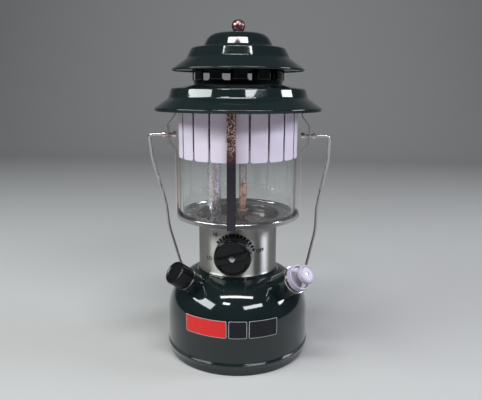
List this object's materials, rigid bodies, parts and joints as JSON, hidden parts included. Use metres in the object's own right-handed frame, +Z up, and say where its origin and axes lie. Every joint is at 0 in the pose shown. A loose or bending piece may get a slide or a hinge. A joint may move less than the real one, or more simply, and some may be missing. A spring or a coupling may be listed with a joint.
{
  "type": "white gas lantern",
  "caption": "Pressure lantern with a round fuel fount, two-tier enamelled ventilator, straight glass globe, wire bail, control knob, hand pump and fuel cap.",
  "frame": {"origin": "on the table under the middle of the fount, at the level of its base ring", "axes": "+Z up along the lantern's middle line, -Y to the front where the control knob is, +X to the right seen from the front"},
  "size_m": [0.1942, 0.173, 0.3501],
  "materials": {
    "green_enamel": "glossy fired enamel, very dark green",
    "bright_plate": "bright nickel plate",
    "brushed_nickel": "brushed nickel",
    "heat_tinted_steel": "dark, heat tinted",
    "satin_steel": "satin",
    "spring_steel": "bright wire",
    "dark_wire": "dark drawn wire",
    "brass": "turned",
    "brass_dull": "heat dulled",
    "oxidised_copper": "oxidised, pinkish brown",
    "black_plastic": "glossy black",
    "grey_plastic": "pale lavender grey",
    "black_rubber": "matt",
    "leather": "oiled",
    "ceramic_white": "unglazed",
    "mantle_cloth": "burnt mantle net",
    "clear_glass": "clear, upper part frosted in panels"
  },
  "bodies": {
    "lantern": {"fount_shell": "green_enamel", "fount_base": "green_enamel", "filler_neck": "bright_plate", "pump_barrel": "brass", "check_valve": "brass", "pump_clip": "spring_steel", "pump_cap": "grey_plastic", "valve_body": "brass", "packing_nut": "brass", "pickup_tube": "brass", "collar": "brushed_nickel", "frame_base": "bright_plate", "upright_front": "heat_tinted_steel", "upright_back": "heat_tinted_steel", "upright_right": "bright_plate", "upright_left": "bright_plate", "frame_rivets": "bright_plate", "air_tube": "satin_steel", "burner_manifold": "satin_steel", "burner_caps": "ceramic_white", "burner_screens": "satin_steel", "mantles": "mantle_cloth", "generator": "brass_dull", "generator_nut": "brass", "centre_stud": "satin_steel", "stud_lock_nut": "satin_steel"},
    "control": {"control_knob": "black_plastic", "valve_stem": "brass", "knob_screw": "bright_plate"},
    "stem": {"air_stem": "satin_steel"},
    "plunger": {"pump_knob": "grey_plastic", "pump_rod": "satin_steel", "pump_cup": "leather", "cup_washer": "brass"},
    "gasket": {"cap_gasket": "black_rubber"},
    "cap": {"fuel_cap": "black_plastic"},
    "bail": {"bail_wire": "dark_wire", "bail_heads": "dark_wire", "bail_collars": "dark_wire"},
    "ventilator": {"ventilator_cap": "green_enamel", "ventilator_drum": "satin_steel", "ventilator_skirt": "green_enamel"},
    "top_nut": {"ball_nut": "oxidised_copper"},
    "globe": {"globe": "clear_glass"}
  },
  "joints": [
    {"name": "control_turn", "type": "hinge", "parent": "lantern", "child": "control", "pos_m": [0, -0.05, 0.1174], "axis": [0, -1, 0], "range_deg": [0, 165]},
    {"name": "air_stem_turn", "type": "hinge", "parent": "lantern", "child": "stem", "pos_m": [0, 0, 0.041], "axis": [0.6443, -0.5217, 0.5592], "range_deg": [0, 720]},
    {"name": "pump_stroke", "type": "slide", "parent": "stem", "child": "plunger", "axis": [0.6443, -0.5217, 0.5592], "range_m": [0, 0.045]},
    {"name": "cap_unscrew", "type": "slide", "parent": "lantern", "child": "gasket", "axis": [-0.5667, -0.5627, 0.6018], "range_m": [0, 0.0075]},
    {"name": "cap_turn", "type": "hinge", "parent": "gasket", "child": "cap", "pos_m": [0, 0, 0.0393], "axis": [-0.5667, -0.5627, 0.6018], "range_deg": [0, 1081]},
    {"name": "bail_swing", "type": "hinge", "parent": "lantern", "child": "bail", "pos_m": [0, 0, 0.2343], "axis": [1, 0, 0], "range_deg": [0, 298]},
    {"name": "ventilator_lift", "type": "slide", "parent": "lantern", "child": "ventilator", "axis": [0, 0, 1], "range_m": [0, 0.15]},
    {"name": "ball_nut_turn", "type": "hinge", "parent": "ventilator", "child": "top_nut", "pos_m": [0, 0, 0.3437], "axis": [0, 0, 1], "continuous": true},
    {"name": "globe_lift", "type": "slide", "parent": "lantern", "child": "globe", "axis": [0, 0, 1], "range_m": [0, 0.13]}
  ],
  "couplings": [
    {"joint": "cap_turn", "follows": "cap_unscrew", "rad_per_m": 2513.3},
    {"joint": "globe_lift", "follows": "ventilator_lift", "ratio": 0.8}
  ]
}
